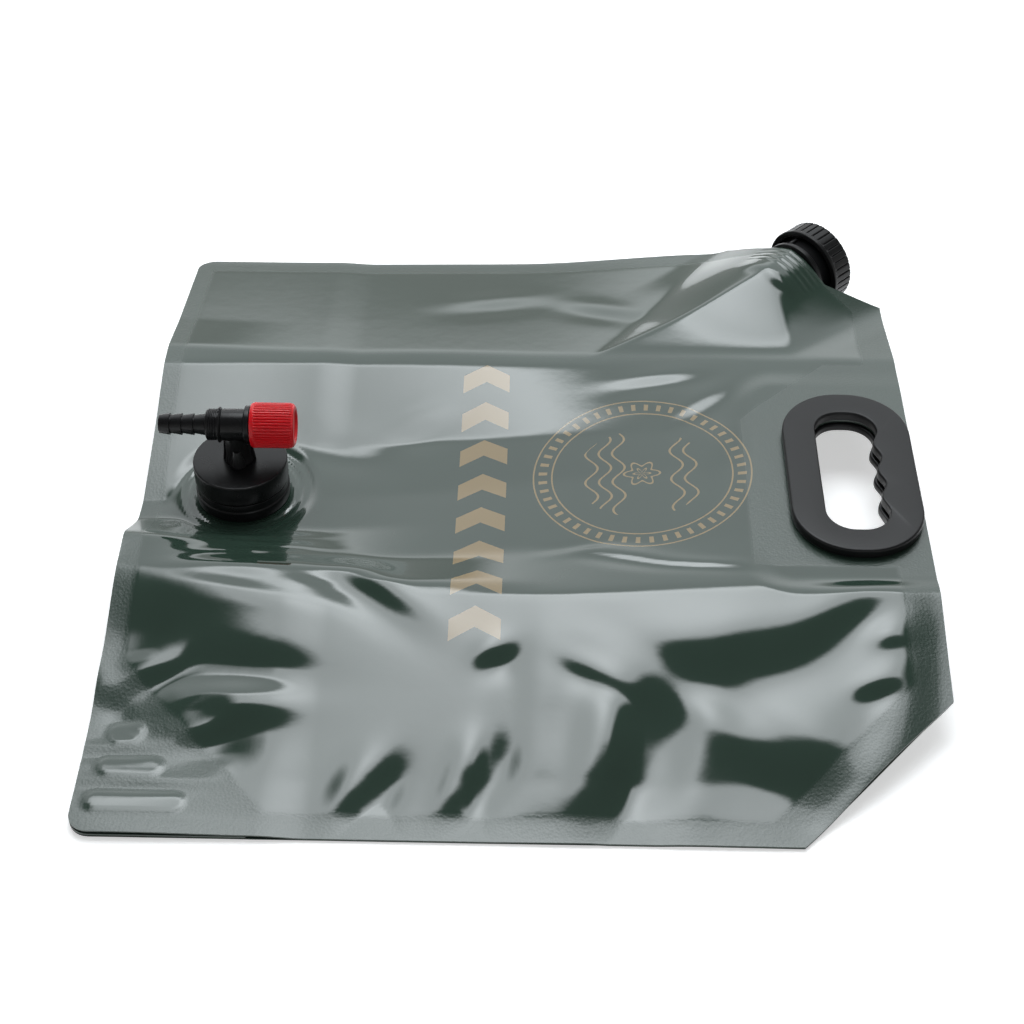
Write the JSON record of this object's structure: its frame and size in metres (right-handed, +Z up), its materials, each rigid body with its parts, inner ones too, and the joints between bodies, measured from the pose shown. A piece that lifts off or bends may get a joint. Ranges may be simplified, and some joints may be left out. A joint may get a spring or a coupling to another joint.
{
  "type": "collapsible water carrier",
  "caption": "Flat, folded film water carrier with a corner filler cap, a moulded carrying handle and a screw-on tap with a barbed outlet.",
  "frame": {"origin": "middle of the bag's outline on the floor, which is the middle of the bounding box's underside", "axes": "+X from the bottom seam and tap to the handle, +Y across the bag to the filler's side, +Z up out of the front wall"},
  "size_m": [0.4, 0.43, 0.0636],
  "materials": {
    "green_film": "glossy dark green laminated film",
    "gusset_film": "glossy dark green laminated film, folded double",
    "handle_plastic": "satin black moulding",
    "black_plastic": "satin black moulding",
    "red_plastic": "satin red moulding",
    "black_rubber": "matt black rubber"
  },
  "bodies": {
    "centre_panel": {"front_film_centre": "green_film", "back_film_centre": "green_film", "bottom_gusset_centre": "gusset_film", "handle_front_shell": "handle_plastic", "handle_back_shell": "handle_plastic", "tap_fitment": "black_plastic"},
    "near_flap": {"front_film_near": "green_film", "back_film_near": "green_film", "bottom_gusset_near": "gusset_film"},
    "far_flap": {"front_film_far": "green_film", "back_film_far": "green_film", "bottom_gusset_far": "gusset_film", "filler_spout": "black_plastic"},
    "cap_liner": {"filler_cap_liner": "black_rubber"},
    "cap": {"filler_cap": "black_plastic"},
    "tap_seal": {"tap_gasket": "black_rubber"},
    "tap": {"tap_closure_cap": "black_plastic", "tap_body": "black_plastic", "outlet_nozzle": "black_plastic", "nozzle_o_ring": "black_rubber", "tap_bonnet": "black_plastic"},
    "spindle": {"valve_spindle": "black_plastic", "valve_seal": "black_rubber", "spindle_o_ring": "black_rubber"},
    "knob": {"tap_knob": "red_plastic"}
  },
  "joints": [
    {"name": "near_flap_fold", "type": "hinge", "parent": "centre_panel", "child": "near_flap", "pos_m": [0, -0.07, 0.0195], "axis": [0.9994, 0, 0.0335], "range_deg": [0, 140]},
    {"name": "far_flap_fold", "type": "hinge", "parent": "centre_panel", "child": "far_flap", "pos_m": [0, 0.096, 0.02275], "axis": [-0.9999, 0, -0.0112], "range_deg": [0, 100]},
    {"name": "cap_lift", "type": "slide", "parent": "far_flap", "child": "cap_liner", "axis": [0.7071, 0.7071, 0], "range_m": [0, 0.01201]},
    {"name": "cap_turn", "type": "hinge", "parent": "cap_liner", "child": "cap", "pos_m": [0.155, 0.179, 0.026], "axis": [0.7071, 0.7071, 0], "range_deg": [0, 1080]},
    {"name": "tap_lift", "type": "slide", "parent": "centre_panel", "child": "tap_seal", "axis": [0, 0, 1], "range_m": [0, 0.00801]},
    {"name": "tap_turn", "type": "hinge", "parent": "tap_seal", "child": "tap", "pos_m": [-0.1475, 0.006, 0.0175], "axis": [0, 0, 1], "range_deg": [0, 720]},
    {"name": "spindle_travel", "type": "slide", "parent": "tap", "child": "spindle", "axis": [1, 0, 0], "range_m": [0, 0.00226]},
    {"name": "knob_turn", "type": "hinge", "parent": "spindle", "child": "knob", "pos_m": [-0.1475, 0.006, 0.052], "axis": [1, 0, 0], "range_deg": [0, 270]}
  ],
  "couplings": [
    {"joint": "cap_lift", "follows": "cap_turn", "m_per_rad": 0.00063662},
    {"joint": "tap_lift", "follows": "tap_turn", "m_per_rad": 0.00063662},
    {"joint": "spindle_travel", "follows": "knob_turn", "m_per_rad": 0.00047746}
  ]
}
